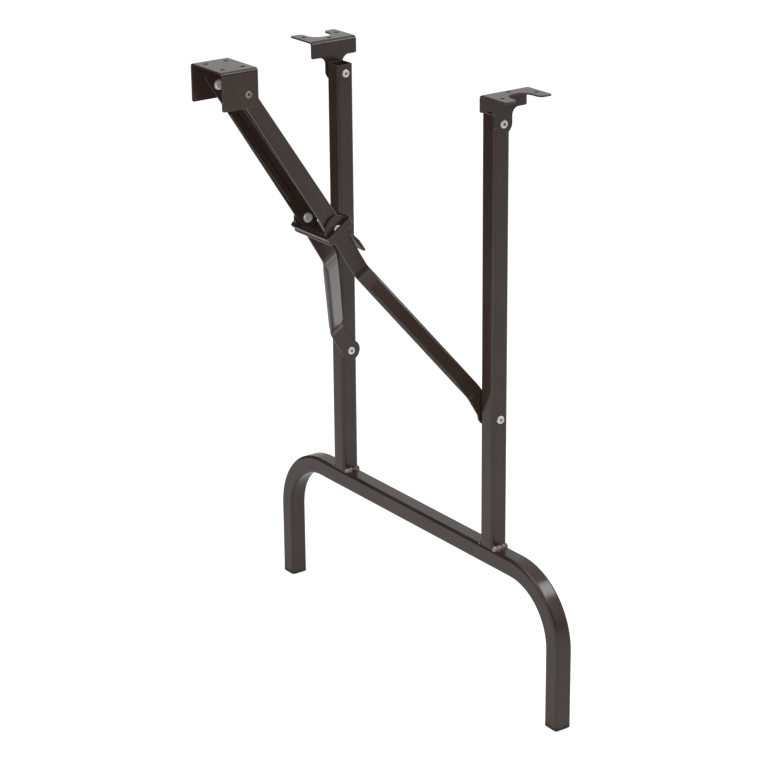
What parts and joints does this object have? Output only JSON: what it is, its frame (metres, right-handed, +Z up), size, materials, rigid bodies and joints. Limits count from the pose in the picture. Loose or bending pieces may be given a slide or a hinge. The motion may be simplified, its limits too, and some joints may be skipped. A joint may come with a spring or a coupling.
{
  "type": "folding table leg",
  "caption": "Folding table leg of bent square tube with uprights on hinge plates that screw under a table top and a folding wishbone brace with a lock ring.",
  "frame": {"origin": "midway between the two hinge plates, on the face that meets the table top", "axes": "+X along the crossbar, -Y from the leg frame towards the brace, +Z up through the table top"},
  "size_m": [0.552, 0.3034, 0.7481],
  "materials": {
    "brown_powder_coat": "satin powder coat",
    "zinc_rivet": "bright zinc plate",
    "black_plastic": "moulded matt"
  },
  "bodies": {
    "table_brackets": {"left_hinge_bracket": "brown_powder_coat", "right_hinge_bracket": "brown_powder_coat"},
    "leg_frame": {"base_tube": "brown_powder_coat", "left_upright": "brown_powder_coat", "right_upright": "brown_powder_coat", "left_weld": "brown_powder_coat", "right_weld": "brown_powder_coat", "left_foot_cap": "black_plastic", "right_foot_cap": "black_plastic", "left_hinge_rivet": "zinc_rivet", "right_hinge_rivet": "zinc_rivet", "left_arm_rivet": "zinc_rivet", "right_arm_rivet": "zinc_rivet"},
    "lower_brace": {"left_arm": "brown_powder_coat", "right_arm": "brown_powder_coat"},
    "upper_brace": {"brace_channel": "brown_powder_coat", "left_knuckle_rivet": "zinc_rivet", "right_knuckle_rivet": "zinc_rivet", "left_bracket_rivet": "zinc_rivet", "right_bracket_rivet": "zinc_rivet"},
    "brace_bracket": {"brace_bracket": "brown_powder_coat"},
    "lock_ring": {"lock_ring": "brown_powder_coat"}
  },
  "joints": [
    {"name": "leg_fold", "type": "hinge", "parent": "table_brackets", "child": "leg_frame", "pos_m": [0, 0, -0.0365], "axis": [-1, 0, 0], "range_deg": [0, 90]},
    {"name": "brace_swing", "type": "hinge", "parent": "leg_frame", "child": "lower_brace", "pos_m": [0, 0, -0.376], "axis": [-1, 0, 0], "range_deg": [-8, 36.1]},
    {"name": "brace_knuckle", "type": "hinge", "parent": "lower_brace", "child": "upper_brace", "pos_m": [0, -0.12948, -0.16051], "axis": [1, 0, 0], "range_deg": [0, 173.6]},
    {"name": "bracket_pivot", "type": "hinge", "parent": "upper_brace", "child": "brace_bracket", "pos_m": [0, -0.23995, 0.00706], "axis": [-1, 0, 0], "range_deg": [-30, 47.5]},
    {"name": "ring_slide", "type": "slide", "parent": "upper_brace", "child": "lock_ring", "axis": [0, -0.557, 0.8305], "range_m": [0, 0.098]}
  ],
  "couplings": [
    {"joint": "ring_slide", "follows": "brace_knuckle", "m_per_rad": 0.032}
  ]
}
